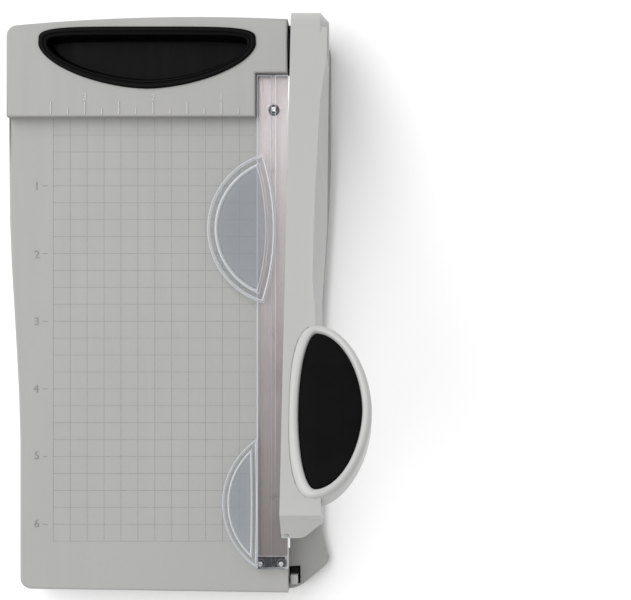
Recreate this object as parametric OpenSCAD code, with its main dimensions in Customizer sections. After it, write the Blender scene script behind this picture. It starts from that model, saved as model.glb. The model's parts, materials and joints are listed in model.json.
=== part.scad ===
// Small arm paper trimmer. Millimetres, +Z up, X to the right, Y away from the user.
// The arm swings on a bolt at the far end and shears against the steel bed on the base.
// The origin lies on the table, under the middle of the whole object's outline.

/* [Base] */
// Width of the base, skirt included
base_w = 120.6; // [105:0.1:145]
// Length of the base from the near edge to the far edge
base_l = 215.4; // [190:0.1:260]
// Height of the cutting deck above the table
deck_h = 22; // [20:0.5:28]
// Rise of the head above the deck
head_rise = 6; // [4:0.5:9]
// Length of the head, from the far edge to the paper fence
head_l = 37.2; // [36:0.1:46]
// Width of the skirt outside the cutting plane
skirt_w = 15.1; // [14:0.1:20]
// Height of the skirt beside the deck wall
skirt_in_h = 10; // [9:0.5:11]
// Height of the skirt at its outer edge
skirt_out_h = 5; // [4.5:0.5:7]
// How far the left side draws in towards the user
waist_in = 4.1; // [0:0.1:7]
// Wall of the base moulding
base_wall = 2.4; // [1.8:0.1:3]
// Thickness of the bottom plate
plate_t = 2; // [1.5:0.1:2.5]
// Height of the rubber feet below the base
foot_h = 1.6; // [1:0.1:4]
// Radius of a rubber foot
foot_r = 6; // [4:0.5:7]

/* [Palm tray] */
// Width of the tray across its rim
tray_w = 81; // [60:0.5:84]
// Length of the tray across its rim
tray_l = 23.2; // [20:0.1:26]
// Depth of the tray below the head
tray_deep = 11; // [6:0.5:14]
// Width of the tray's rim
tray_rim = 3.4; // [2.5:0.1:4.5]
// Wall of the tray
tray_wall = 1.6; // [1.2:0.1:2.2]

/* [Cutting bed] */
// Width of the steel bed plate
bed_w = 12; // [9:0.1:14]
// Thickness of the steel bed plate
bed_t = 2; // [1.5:0.1:3]
// Distance from the near edge of the base to the bed plate
bed_near_gap = 14; // [12:0.5:20]

/* [Paper guard] */
// Width of the clear strip
guard_w = 11.8; // [9:0.1:13]
// Thickness of the clear strip
guard_t = 2.2; // [1.8:0.1:3]
// Height of the raised strip above the deck
guard_lift = 2.4; // [1.5:0.1:3.5]
// Radius of the two finger pads' round sides
pad_r = 29; // [26:0.5:34]
// How far the far finger pad stands out from the strip
far_pad_out = 18.5; // [14:0.5:24]
// How far the near finger pad stands out from the strip
near_pad_out = 12.9; // [9:0.1:18]
// Radius of the guide pins
pin_r = 0.9; // [0.7:0.05:1.2]

/* [Hinge] */
// Distance from the far edge of the base to the hinge bolt
pivot_inset = 10.5; // [9.5:0.1:14]
// Depth of the hinge bolt below the deck
pivot_drop = 2; // [0:0.5:4]
// Radius of the hinge bolt
bolt_r = 3; // [2.5:0.1:3.4]
// Radius of the washer between head and arm
washer_r = 8.25; // [6.5:0.05:9]
// Angle of the arm above the deck as it is drawn
arm_rest = 30; // [10:1:60]

/* [Arm] */
// Distance from the near edge of the base to the lowered arm's nose
nose_gap = 8.9; // [8:0.1:14]
// Width of the arm
arm_w = 14; // [12.5:0.1:16]
// Height of the arm's top above the bolt line
arm_top = 12.5; // [11:0.1:14]
// Depth of the arm's underside below the bolt line
arm_under = 6; // [5:0.1:7]
// Radius of the arm's round hinge end
hub_r = 13; // [12:0.1:14]
// Thickness of the moving blade
blade_t = 1.2; // [0.8:0.05:1.6]
// Depth of the blade's edge below the bolt line
blade_under = 8; // [7:0.1:8.6]

/* [Grip] */
// Length of the D grip along the arm
grip_l = 63.5; // [58:0.5:76]
// How far the D grip stands out beyond the arm
grip_out = 15.6; // [10:0.1:20]
// Distance from the arm's nose to the grip's middle
grip_at = 37.5; // [34:0.5:50]
// Width of the grip's rim around the soft pad
grip_rim = 3.2; // [2.5:0.1:4.5]

/* [Latch] */
// Travel of the latch tab
latch_travel = 3.6; // [2.6:0.1:3.8]
// Width of the latch tab
latch_w = 2.8; // [2:0.1:3.4]

/* [Hidden] */
$fn = 64;

// Small clearances and overcuts
cut = 1;            // how far a cutting tool runs past what it cuts
fit = 0.3;          // gap around pieces that drop into the base
run_fit = 0.05;     // radial gap of a running fit
shear_gap = 0.15;   // gap between the bed's edge and the moving blade

// Planes and lines that several pieces share
x_left = -base_w / 2;
x_right = base_w / 2;
y_far = base_l / 2;
y_near = -base_l / 2;
x_cut = x_right - skirt_w;              // cutting plane
bed_proud = 0.8;                        // bed edge stands out from the deck wall
x_wall = x_cut - bed_proud;             // outer face of the deck wall
arm_gap = 0.5;                          // gap between the cutting plane and the arm
x_arm = x_cut + arm_gap;                // inner face of the arm
x_blade = x_cut + shear_gap;            // inner face of the moving blade
y_fence = y_far - head_l;
head_h = deck_h + head_rise;
pivot_y = y_far - pivot_inset;
pivot_h = deck_h - pivot_drop;
z_shell = foot_h;                       // bottom edge of the base moulding
z_plate = z_shell + plate_t;            // top of the bottom plate
hub_pad = 4;                            // the skirt is solid beside the hub, and this much further
y_hollow = pivot_y - hub_r - hub_pad;   // where the hollow of the skirt ends

// Outline of the base
corner_r = 4;
skirt_r = 9;            // round far corner of the skirt
skirt_cut = [11.5, 9];    // the near corner is cut off this far along the near and the outer edge
far_bow = 3;            // crown of the far edge, at bow_half from its highest point
bow_x = 10;
bow_half = 66;
near_slope = 0.014;     // the near edge runs slightly askew
waist_from = 62.7;      // where the left side starts to draw in, from the far edge
waist_run = 100;
skirt_in = 3.8;         // how far the skirt's outer edge draws in
flare_out = 2.9;        // how far it flares out again towards the near end
skirt_from = 47.7;      // where it starts, from the far edge
skirt_run = 80;
flare_at = 23.7;        // where the flare starts, from the near edge
flare_run = 16;
skirt_far_in = 3.7;     // the skirt stops short of the far edge by this
edge_steps = 12;

// Guard and bed
guard_gap = 0.5;                            // guard's edge to the cutting plane
guard_x1 = x_cut - guard_gap;
guard_x0 = guard_x1 - guard_w;
notch_y = y_far - 21;                       // far end of the guard's notch in the head
bed_x0 = x_cut - bed_w;
bed_near = y_near + bed_near_gap;
bed_far = notch_y - fit;
guard_far = notch_y - 0.5;
block_l = 4.6;                              // black guide block at the guard's near end
block_y = bed_near - block_l / 2 - 0.4;
guard_near = block_y - 1.5;
guard_z = deck_h + guard_lift;
guard_stop = 0.2;                           // gap left when the guard is pressed
guard_travel = guard_lift - guard_stop;
block_w = guard_w - 1.4;
block_deep = 9;
block_x = guard_x0 + block_w / 2 - 0.1;
pin_half = block_w / 2 - 1.3;               // half the distance between the near pins
groove_x = guard_x0 + guard_w / 2 + 0.3;
far_pin = [groove_x, notch_y - 13.2];
pin_at = [[block_x - pin_half, block_y], [block_x + pin_half, block_y], far_pin];
pin_grip = 1.2;                             // length of a pin held in the guard
pin_low = 11;                               // how far the pins reach below the guard
spring_wire = 0.22;
spring_r = pin_r + 0.65;
spring_pocket_r = spring_r + spring_wire + 0.2;
spring_pocket = 6;                          // depth of the spring pocket below the deck
far_pad_y = y_fence - 41.6;
near_pad_y = y_near + 34;
pad_t = 1.3;
ridge_w = 1.2;
groove_w = 1.3;
groove_deep = 0.8;

// Rail under the bed, bosses and feet
rail_x0 = min(guard_x0, bed_x0) - 3;
rail_z = 12;
boss_r = 3.4;
screw_r = 1.4;
head_r = 2.8;
screw_head = 1.6;
boss_at = [[x_left + 12, y_fence - 8], [rail_x0 - 8, y_fence - 8],
    [x_left + 14, y_near + 32], [rail_x0 - 8, y_near + 32]];
foot_inset = 15;
foot_x1 = x_wall + 2;       // feet on the right stand under the deck wall
foot_at = [[x_left + foot_inset, y_far - foot_inset], [foot_x1, y_hollow - foot_r - 4],
    [x_left + foot_inset + waist_in, y_near + foot_inset], [foot_x1, y_near + foot_inset + 6]];
foot_sunk = 1;
bed_screw_at = [for (i = [0:2]) bed_near + 22 + i * (y_fence - bed_near - 42) / 2];
bed_screw_x = (bed_x0 + x_cut) / 2;

// Tray
tray_lip = 1;                       // rim's height above the head
tray_x = (x_left + x_cut) / 2 - 0.25;
tray_up = 6.4;                      // tray's far side, from its widest line
tray_low = tray_l - tray_up;        // tray's near side, from its widest line
tray_y = y_far - 3.7 - tray_up;

// Hinge stack, from the head outwards
bracket_t = 2;
bracket_leg = 8;
bracket_z = z_plate + 1.4;
bracket_y0 = notch_y + base_wall + fit;
bracket_y1 = far_y(x_wall, base_wall) - fit;
bracket_screw_y = [bracket_y0 + 3, bracket_y1 - 3];
bracket_screw_z = bracket_z + 5.5;
bolt_head_r = 5.2;
bolt_head_t = 4;
washer_t = x_arm - x_wall - 0.1;
bush_wall = 1.4;
nut_bore_r = 7;
nut_r = 5.6;
nut_t = 4.2;
cone_t = 1.1;
cap_t = 1.2;
bush_l = arm_w - nut_t - cone_t - cap_t - 1;
x_seat = x_arm + bush_l;            // where the spring washer presses on the arm
x_nut = x_seat + cone_t + 0.15;
hub_room = 0.8;                     // gap around the hub in the skirt

// Arm
arm_l = base_l - pivot_inset - nose_gap;
blade_up = 4;                       // blade's top above the bolt line
blade_from = 10;
blade_to = arm_l - 4;
blade_bevel = 1.6;
blade_room = 0.2;
cavity_x0 = 2.8;
cavity_w = arm_w - 9;
cavity_from = 26;
cavity_to = arm_l - 10;
cavity_top = 10;
cover_t = 1.5;
cover_lap = 0.6;
post_r = 1.9;
post_at = [for (i = [0:2]) 36 + i * (arm_l - 78) / 2];
blade_screw_at = [for (i = [0:3]) 24 + i * (arm_l - 46) / 3];
blade_screw_h = 0.5;

// Grip, in the arm's own frame
grip_d = arm_l - grip_at;           // grip's middle, from the bolt
grip_x = x_arm + 11.3;              // line that splits the D into its two sides
grip_left = 9;
grip_right = arm_w - 11.3 + grip_out;
grip_low = 5.5;
grip_high = arm_top + 1.5;
grip_pad_low = arm_top - 3;
grip_pad_high = arm_top + 0.8;
grip_floor = grip_low - 2.2;
grip_screw_at = [grip_d - 14, grip_d + 14];
grip_screw_x = x_arm + cavity_x0 + cavity_w / 2;
grip_screw_head = 2;

// Latch
latch_x = x_wall + 0.65;
latch_y = y_near + 2.5;             // outer side of the latch's neck
latch_neck = 1.6;
latch_lip = 2;
bezel_w = latch_w + 1.2;
bezel_side = 0.5;
bezel_z = z_plate + 2;
bezel_top = skirt_z(x_wall + 2);
lip_z = pivot_h - arm_under + 1.4;
lip_t = 1.8;

// Middle of the whole object's outline, which becomes the origin
mid_x = (x_left + grip_x + grip_right) / 2;
mid_y = (y_near + pivot_y + hub_r) / 2;

// ---- Shapes and helpers ----

// Smooth step from 0 to 1
function smooth(t) = let (u = min(1, max(0, t))) u * u * (3 - 2 * u);
// Height of the sloping skirt at x
function skirt_z(x) = skirt_in_h + (skirt_out_h - skirt_in_h) * (x - x_wall) / (x_right - x_wall);
// Edges of the base, moved inwards by inset
function left_x(y, inset) = x_left + inset + waist_in * smooth((y_far - waist_from - y) / waist_run);
function far_y(x, inset) = y_far - inset - far_bow * pow((x - bow_x) / bow_half, 2);
function near_y(x, inset) = y_near + inset + near_slope * (x_cut - x);
function skirt_x(y, inset) = x_right - inset
    - skirt_in * smooth((y_far - skirt_from - y) / skirt_run)
    + flare_out * smooth((y_near + flare_at - y) / flare_run);
// Points along an arc about c
function arc(c, r, a0, a1, n = 6) = [for (i = [0:n]) let (a = a0 + (a1 - a0) * i / n) c + r * [cos(a), sin(a)]];
// Points along a round corner that leaves p, bends at q and ends at r
function bend(p, q, r, n = 5) = [for (i = [0:n]) let (t = i / n)
    (1 - t) * (1 - t) * p + 2 * t * (1 - t) * q + t * t * r];
// Points between two values
function steps(a, b, n) = [for (i = [0:n]) a + (b - a) * i / n];

// Outline of the deck and head, left of the line x_side
function deck_outline(inset, x_side) = let (
    near_c = [left_x(y_near, 0) + corner_r, near_y(x_left, 0) + corner_r],
    far_c = [x_left + corner_r, far_y(x_left + corner_r, 0) - corner_r]) concat(
    arc(near_c, corner_r - inset, 180, 270),
    [[x_side, near_y(x_side, inset)]],
    [for (x = steps(x_side, far_c[0] + 1, edge_steps)) [x, far_y(x, inset)]],
    arc(far_c, corner_r - inset, 90, 180),
    [for (y = steps(far_c[1] - 2, near_c[1] + 2, edge_steps)) [left_x(y, inset), y]]);

// Outline of the skirt, which runs under the deck's edge
function skirt_outline(inset) = let (
    lap = x_wall - 4,
    x_flare = x_right - skirt_in + flare_out,
    x_cut_off = x_flare - skirt_cut[0],
    y_cut = near_y(x_cut_off, 0) + skirt_cut[1],
    a = [x_cut_off - inset * 0.4, near_y(x_cut_off, inset)],
    b = [x_flare - inset, y_cut + inset * 0.4],
    far_c = [x_right - skirt_r, far_y(x_right, 0) - skirt_far_in + 2 - skirt_r]) concat(
    [[lap, near_y(lap, inset)]],
    bend(a - [3, 0], a, a + (b - a) * 0.3),
    bend(b - (b - a) * 0.2, b, b + [0, 2]),
    [for (y = steps(y_cut + 4, far_c[1] - 2, 2 * edge_steps)) [skirt_x(y, inset), y]],
    arc(far_c, skirt_r - inset, 0, 90),
    [[lap, far_c[1] + skirt_r - inset]]);

// One side of a D outline: a quarter-and-quarter curve of half-length b and depth a
function d_side(a, b, n, sign, count = 16) = [for (i = [1:count - 1])
    let (t = 90 - 180 * i / count, s = sin(t))
    [sign * a * pow(max(0, 1 - pow(abs(s), n)), 1 / n), sign * b * s]];

// Tray outline about its widest line: flat towards the far edge, bulging towards the user
function tray_side(a, b, n, count = 24) = [for (i = [0:count])
    let (u = cos(180 * i / count)) [a * u, b * pow(max(0, 1 - pow(abs(u), n)), 1 / n)]];
module tray_shape(inset) {
    a = tray_w / 2 - inset;
    up = tray_side(a, tray_up - inset, 4.7);
    low = tray_side(a, tray_low - inset, 1.7);
    translate([tray_x, tray_y])
        polygon(concat(up, [for (i = [len(low) - 2:-1:1]) [low[i][0], -low[i][1]]]));
}

// Cylinder along X, from x0 to x1
module xcyl(x0, x1, r, r2 = -1) {
    translate([x0, 0, 0]) rotate([0, 90, 0]) cylinder(h = x1 - x0, r1 = r, r2 = r2 < 0 ? r : r2);
}

// Countersunk screw along +Z, its flat head at z = 0
module csk_screw(length, r = screw_r, hr = head_r) {
    difference() {
        union() {
            cylinder(h = screw_head, r1 = hr, r2 = r);
            cylinder(h = length, r = r);
        }
        for (a = [0, 90]) rotate(a) translate([-hr * 0.6, -0.3, -cut]) cube([hr * 1.2, 0.6, cut + 0.7]);
    }
}
// The hole that a countersunk screw fills
module csk_hole(length, r = screw_r, hr = head_r) {
    cylinder(h = screw_head, r1 = hr, r2 = r);
    cylinder(h = length, r = r);
    translate([0, 0, -cut]) cylinder(h = cut, r = hr);
}

// Coil spring along +Z, from z0 to z1
module coil(z0, z1, r, wire, turns) {
    sides = 6;
    per_turn = 14;
    count = turns * per_turn;
    pts = [for (i = [0:count], j = [0:sides - 1])
        let (a = 360 * i / per_turn, b = 360 * j / sides, q = r + wire * cos(b))
        [q * cos(a), q * sin(a), z0 + wire + (z1 - z0 - 2 * wire) * i / count + wire * sin(b)]];
    walls = [for (i = [0:count - 1], j = [0:sides - 1])
        let (k = (j + 1) % sides)
        [i * sides + j, i * sides + k, (i + 1) * sides + k, (i + 1) * sides + j]];
    ends = [[for (j = [sides - 1:-1:0]) j], [for (j = [0:sides - 1]) count * sides + j]];
    polyhedron(points = pts, faces = concat(walls, ends));
}

// Puts a piece of the arm, drawn level about the bolt, at its rest angle
module on_arm() {
    translate([0, pivot_y, pivot_h]) rotate([-arm_rest, 0, 0]) children();
}

// Puts every piece in the object's own frame
module placed() {
    translate([-mid_x, -mid_y, 0]) children();
}

// ---- Base ----

module deck_block(inset) {
    z0 = inset > 0 ? z_shell - cut : z_shell;
    translate([0, 0, z0]) linear_extrude(deck_h - inset - z0)
        polygon(deck_outline(inset, x_wall - inset));
}

module head_block(inset) {
    z0 = inset > 0 ? z_shell - cut : z_shell;
    intersection() {
        translate([0, 0, z0]) linear_extrude(head_h - inset - z0)
            polygon(deck_outline(inset, x_wall - inset));
        translate([x_left - cut, y_fence + inset, 0]) cube([base_w, head_l + cut, head_h + cut]);
    }
}

module skirt_block(inset) {
    z0 = inset > 0 ? z_shell - cut : z_shell;
    x0 = x_wall - 5;
    x1 = x_right + cut;
    intersection() {
        translate([0, 0, z0]) linear_extrude(deck_h) polygon(skirt_outline(inset));
        translate([0, y_far + cut, 0]) rotate([90, 0, 0]) linear_extrude(base_l + 2 * cut)
            polygon([[x0, z0], [x1, z0], [x1, skirt_z(x1) - inset], [x0, skirt_z(x0) - inset]]);
    }
}

// Keeps what lies on the user's side of the solid skirt beside the hub
module below_hub(gap = 0) intersection() {
    children();
    translate([x_left, y_near, 0]) cube([base_w, y_hollow - gap - y_near, deck_h]);
}

// Hollow inside of the base, open below
module base_hollow() {
    deck_block(base_wall);
    head_block(base_wall);
    below_hub() skirt_block(base_wall);
}

// Solid rail that carries the bed, and the walls of the guard's notch
module bed_rail() {
    translate([rail_x0, y_near + base_wall / 2 + 1, rail_z])
        cube([x_wall - rail_x0, y_fence - y_near, deck_h - rail_z]);
    translate([rail_x0, y_fence, rail_z])
        cube([x_wall - rail_x0, notch_y + base_wall - y_fence, head_h - rail_z]);
}

module base_shell() color([0.75, 0.75, 0.73]) difference() {
    union() {
        difference() {
            union() {
                deck_block(0);
                head_block(0);
                skirt_block(0);
            }
            base_hollow();
        }
        bed_rail();
        for (p = boss_at) translate([p[0], p[1], z_plate])
            cylinder(h = deck_h - base_wall / 2 - z_plate, r = boss_r);
    }
    // opening for the palm tray
    translate([0, 0, head_h - base_wall - cut]) linear_extrude(base_wall + 2 * cut)
        tray_shape(tray_rim - tray_wall);
    // notch for the guard
    translate([guard_x0 - 0.4, y_fence - cut, deck_h])
        cube([x_right, notch_y - y_fence + cut, head_rise + cut]);
    // recess for the bed plate
    translate([bed_x0, bed_near, deck_h - bed_t]) cube([bed_w, bed_far - bed_near, bed_t + cut]);
    for (y = bed_screw_at) translate([bed_screw_x, y, rail_z + 1.5]) cylinder(h = deck_h, r = screw_r);
    // pocket for the guard's guide block, and holes for its pins
    translate([block_x - block_w / 2, block_y - block_l / 2, deck_h - block_deep])
        cube([block_w, block_l, block_deep + cut]);
    for (p = pin_at) translate([p[0], p[1], 0]) {
        translate([0, 0, rail_z - cut]) cylinder(h = deck_h, r = pin_r + run_fit);
        translate([0, 0, deck_h - spring_pocket]) cylinder(h = deck_h, r = spring_pocket_r);
    }
    // hinge: bolt hole, blind screw holes and room for the arm's hub
    translate([0, pivot_y, pivot_h]) {
        xcyl(x_wall - base_wall - cut, x_wall + cut, bolt_r + 0.1);
        xcyl(x_wall, x_right + cut, hub_r + hub_room);
    }
    for (y = bracket_screw_y) translate([0, y, bracket_screw_z])
        xcyl(x_wall - base_wall - cut, x_wall - 0.8, 1);
    // opening for the latch bezel
    translate([latch_x - bezel_side - 0.1, latch_y - 0.7, z_plate])
        cube([bezel_w + 0.2, bezel_l() + 0.2, deck_h]);
    // pilot holes in the bosses
    for (p = boss_at) translate([p[0], p[1], z_plate - cut]) cylinder(h = 11, r = screw_r);
    // seat of the arm's bumper
    bumper_place() cylinder(h = deck_h, r = bumper_r);
}

module bottom_plate() color([0.35, 0.35, 0.36]) difference() {
    intersection() {
        union() {
            deck_block(base_wall + fit);
            below_hub(fit) skirt_block(base_wall + fit);
        }
        translate([x_left, y_near, z_shell]) cube([base_w, base_l, plate_t]);
    }
    for (p = boss_at) translate([p[0], p[1], z_shell]) csk_hole(plate_t + cut);
    for (p = foot_at) translate([p[0], p[1], z_shell - cut]) cylinder(h = cut + foot_sunk, r = foot_r);
}

module base_screws() color("silver")
    for (p = boss_at) translate([p[0], p[1], z_shell]) csk_screw(9);

module rubber_feet() color([0.1, 0.1, 0.1])
    for (p = foot_at) translate([p[0], p[1], 0]) rotate_extrude()
        polygon([[0, 0], [foot_r - 0.5, 0], [foot_r, 0.5], [foot_r, foot_h + foot_sunk], [0, foot_h + foot_sunk]]);

module palm_tray() color([0.08, 0.08, 0.08]) difference() {
    union() {
        translate([0, 0, head_h]) linear_extrude(tray_lip) tray_shape(0);
        translate([0, 0, head_h - tray_deep]) linear_extrude(tray_deep + tray_lip)
            tray_shape(tray_rim - tray_wall + 0.15);
    }
    translate([0, 0, head_h - tray_deep + tray_wall]) linear_extrude(tray_deep + tray_lip)
        tray_shape(tray_rim + 0.15);
}

// ---- Cutting bed and guard ----

module bed_plate() color([0.78, 0.76, 0.76]) difference() {
    translate([bed_x0, bed_near, deck_h - bed_t]) cube([bed_w, bed_far - bed_near, bed_t]);
    for (y = bed_screw_at) translate([bed_screw_x, y, deck_h]) mirror([0, 0, 1]) csk_hole(bed_t + cut);
    translate([far_pin[0], far_pin[1], deck_h - bed_t - cut])
        cylinder(h = bed_t + 2 * cut, r = spring_pocket_r + 0.1);
}

module bed_screws() color("silver")
    for (y = bed_screw_at) translate([bed_screw_x, y, deck_h]) mirror([0, 0, 1]) csk_screw(7.5);

module guard_block() color([0.07, 0.07, 0.07]) difference() {
    translate([block_x - block_w / 2, block_y - block_l / 2, deck_h - block_deep])
        cube([block_w, block_l, block_deep]);
    for (s = [-1, 1]) translate([block_x + s * pin_half, block_y, 0]) {
        cylinder(h = deck_h + cut, r = pin_r + run_fit);
        translate([0, 0, deck_h - spring_pocket]) cylinder(h = spring_pocket + cut, r = spring_pocket_r);
    }
}

// A finger pad: a disc cut off where it meets the strip, with a raised edge
module finger_pad(y, out) {
    c = [guard_x0 - out + pad_r, y, guard_z];
    intersection() {
        difference() {
            translate(c) cylinder(h = guard_t, r = pad_r, $fn = 128);
            translate(c + [0, 0, pad_t]) cylinder(h = guard_t, r = pad_r - ridge_w, $fn = 128);
        }
        translate([guard_x0 - out - cut, y - pad_r, guard_z - cut])
            cube([out + 2 * cut, 2 * pad_r, guard_t + 2 * cut]);
    }
}

module paper_guard() color([0.8, 0.87, 0.9, 0.4]) difference() {
    union() {
        translate([guard_x0, guard_near, guard_z]) cube([guard_w, guard_far - guard_near, guard_t]);
        finger_pad(far_pad_y, far_pad_out);
        finger_pad(near_pad_y, near_pad_out);
    }
    // long groove with a round near end
    translate([groove_x, guard_near + 1.5, guard_z + guard_t - groove_deep]) {
        cylinder(h = guard_t, r = groove_w / 2);
        translate([-groove_w / 2, 0, 0]) cube([groove_w, base_l, guard_t]);
    }
    for (p = pin_at) translate([p[0], p[1], guard_z - cut]) cylinder(h = cut + pin_grip, r = pin_r);
}

module guard_pins() color("silver")
    for (p = pin_at) translate([p[0], p[1], guard_z + pin_grip - pin_low]) cylinder(h = pin_low, r = pin_r);

module guard_springs() color("gray")
    for (p = pin_at) translate([p[0], p[1], 0])
        coil(deck_h - spring_pocket, guard_z, spring_r, spring_wire, 6);

// ---- Hinge ----

module hinge_bracket() color([0.6, 0.6, 0.62]) {
    x1 = x_wall - base_wall;
    length = bracket_y1 - bracket_y0;
    difference() {
        translate([x1 - bracket_t, bracket_y0, bracket_z])
            cube([bracket_t, length, head_h - base_wall - fit - bracket_z]);
        translate([0, pivot_y, pivot_h]) xcyl(x1 - bracket_t - cut, x1 + cut, bolt_r);
        for (y = bracket_screw_y) translate([0, y, bracket_screw_z])
            xcyl(x1 - bracket_t - cut, x1 + cut, 1);
    }
    translate([x1 - bracket_leg, bracket_y0, bracket_z]) cube([bracket_leg - bracket_t, length, bracket_t]);
}

module bracket_screws() color("silver")
    for (y = bracket_screw_y) translate([0, y, bracket_screw_z]) {
        x1 = x_wall - base_wall - bracket_t;
        xcyl(x1 - 1.4, x1, 2);
        xcyl(x1, x_wall - 0.8, 1);
    }

module pivot_bolt() color("silver") translate([0, pivot_y, pivot_h]) {
    x1 = x_wall - base_wall - bracket_t;
    translate([x1 - bolt_head_t, 0, 0]) rotate([0, 90, 0]) cylinder(h = bolt_head_t, r = bolt_head_r, $fn = 6);
    xcyl(x1, x_nut + nut_t, bolt_r);
}

// Ring about the bolt, from x0 to x1
module bolt_ring(x0, x1, r, r2, bore) translate([0, pivot_y, pivot_h]) difference() {
    xcyl(x0, x1, r, r2);
    xcyl(x0 - cut, x1 + cut, bore);
}

module pivot_washer() color([0.06, 0.06, 0.06]) bolt_ring(x_wall, x_wall + washer_t, washer_r, washer_r, bolt_r);
module spring_washer() color("gray") bolt_ring(x_seat + 0.1, x_seat + 0.1 + cone_t, nut_bore_r - 0.6, 4.4, bolt_r);

module pivot_nut() color("silver") translate([0, pivot_y, pivot_h]) difference() {
    translate([x_nut, 0, 0]) rotate([0, 90, 0]) cylinder(h = nut_t, r = nut_r, $fn = 6);
    xcyl(x_nut - cut, x_nut + nut_t + cut, bolt_r);
}

// ---- Latch and bumper ----

function bezel_l() = latch_neck + latch_travel + 1.2;

module latch_bezel() color([0.05, 0.05, 0.05]) difference() {
    translate([latch_x - bezel_side, latch_y - 0.6, bezel_z]) cube([bezel_w, bezel_l(), bezel_top - bezel_z]);
    translate([latch_x - 0.2, latch_y - 0.1, bezel_z - cut])
        cube([latch_w + 0.4, latch_neck + latch_travel + 0.2, deck_h]);
}

module latch_tab() color([0.85, 0.85, 0.83]) {
    translate([latch_x, latch_y, z_plate + 1.6]) cube([latch_w, latch_neck, lip_z + lip_t - z_plate - 1.6]);
    translate([latch_x, latch_y, lip_z]) cube([latch_w, latch_neck + latch_lip, lip_t]);
    translate([latch_x - 0.4, latch_y - 0.4, z_plate + 0.3]) cube([latch_w + 0.8, latch_neck + 1.4, 1.3]);
}

bumper_r = 3;
bumper_x = x_arm + 4.4;
module bumper_place() translate([bumper_x, pivot_y - arm_l + 16, skirt_z(bumper_x) - 1.4]) children();
module arm_bumper() color([0.1, 0.1, 0.1]) bumper_place()
    cylinder(h = pivot_h - arm_under - fit - skirt_z(bumper_x) + 1.4, r = bumper_r);

// ---- Arm, drawn level with the bolt at the origin and its nose towards -Y ----

// Stations along the arm: distance from the bolt, and the outer side's offset at the bottom,
// at the widest point, that point's height, and the outer side's offset at the top
arm_stations = [
    [0, arm_w, arm_w, 0, arm_w - 0.5],
    [15, arm_w, arm_w, 0, arm_w - 0.8],
    [34, arm_w, arm_w, -2, arm_w - 2.8],
    [76, arm_w - 0.1, arm_w - 0.1, -2, arm_w - 4.2],
    [arm_l - 89, arm_w - 1.5, arm_w - 1.5, -2, arm_w - 4.5],
    [arm_l - 68, arm_w - 1.5, arm_w - 1.1, 0, arm_w - 3.2],
    [arm_l - 36, arm_w - 3.7, arm_w - 0.2, 4, arm_w - 1.7],
    [arm_l, arm_w - 6.9, arm_w - 0.1, 7, arm_w - 0.7]];

module arm_bar() {
    n = 5;
    last = len(arm_stations) - 1;
    pts = [for (s = arm_stations) each [
        [x_arm, -s[0], -arm_under], [x_arm + s[1], -s[0], -arm_under], [x_arm + s[2], -s[0], s[3]],
        [x_arm + s[4], -s[0], arm_top], [x_arm, -s[0], arm_top]]];
    walls = [for (i = [0:last - 1], j = [0:n - 1]) let (k = (j + 1) % n)
        each [[i * n + j, (i + 1) * n + k, i * n + k], [i * n + j, (i + 1) * n + j, (i + 1) * n + k]]];
    ends = [[for (j = [0:n - 1]) j], [for (j = [n - 1:-1:0]) last * n + j]];
    polyhedron(points = pts, faces = concat(walls, ends));
}

// D outline of the grip, moved inwards by inset
module grip_shape(inset) {
    b = grip_l / 2 - inset;
    translate([grip_x, -grip_d]) polygon(concat(
        [[0, b]], d_side(grip_right - inset, b, 1.85, 1), [[0, -b]],
        d_side(grip_left - inset, b, inset > 0 ? 2 : 2.8, -1)));
}

module arm_shell() color([0.76, 0.76, 0.75]) on_arm() difference() {
    union() {
        arm_bar();
        xcyl(x_arm, x_arm + arm_w - 3.2, hub_r);
        xcyl(x_arm + arm_w - 3.2, x_arm + arm_w, hub_r, hub_r - 3.5);
    }
    // bush seat and nut pocket
    xcyl(x_arm - cut, x_arm + arm_w, bolt_r + bush_wall);
    xcyl(x_seat, x_arm + arm_w + cut, nut_bore_r);
    // recess for the moving blade
    translate([x_arm - cut, -blade_to - blade_room, -arm_under - cut])
        cube([x_blade + blade_t - x_arm + cut, blade_to - blade_from + 2 * blade_room,
            arm_under + blade_up + blade_room + cut]);
    for (d = blade_screw_at) translate([0, -d, blade_screw_h]) xcyl(x_arm, x_blade + 3, 1);
    // hollow, open below, with posts for the cover's screws
    difference() {
        union() {
            translate([x_arm + cavity_x0, -cavity_to, -arm_under - cut])
                cube([cavity_w, cavity_to - cavity_from, arm_under + cut + grip_floor]);
            translate([x_arm + cavity_x0, -(grip_d - grip_l / 2 - 3), 0])
                cube([cavity_w, grip_d - grip_l / 2 - 3 - cavity_from, cavity_top]);
        }
        for (d = post_at) translate([grip_screw_x, -d, -arm_under + cover_t]) cylinder(h = 20, r = post_r);
    }
    for (d = post_at) translate([grip_screw_x, -d, -arm_under]) cylinder(h = 6.5, r = 1);
    translate([x_arm + cavity_x0 - cover_lap, -cavity_to - cover_lap, -arm_under - cut])
        cube([cavity_w + 2 * cover_lap, cavity_to - cavity_from + 2 * cover_lap, cover_t + cut]);
    // seat of the D grip and its screw holes
    translate([0, 0, grip_low]) linear_extrude(deck_h) grip_shape(0);
    for (d = grip_screw_at) translate([grip_screw_x, -d, 0]) {
        translate([0, 0, grip_floor - cut]) cylinder(h = deck_h, r = 1.1);
        translate([0, 0, -arm_under - cut]) cylinder(h = arm_under + cut + grip_floor, r = grip_screw_head + 0.1);
    }
    // pocket for the latch
    translate([x_arm - cut, -arm_l - cut, lip_z - pivot_h - 0.4])
        cube([latch_x + latch_w - x_arm + 0.4 + cut, latch_lip + cut + 0.6, lip_t + 0.8]);
}

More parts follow.
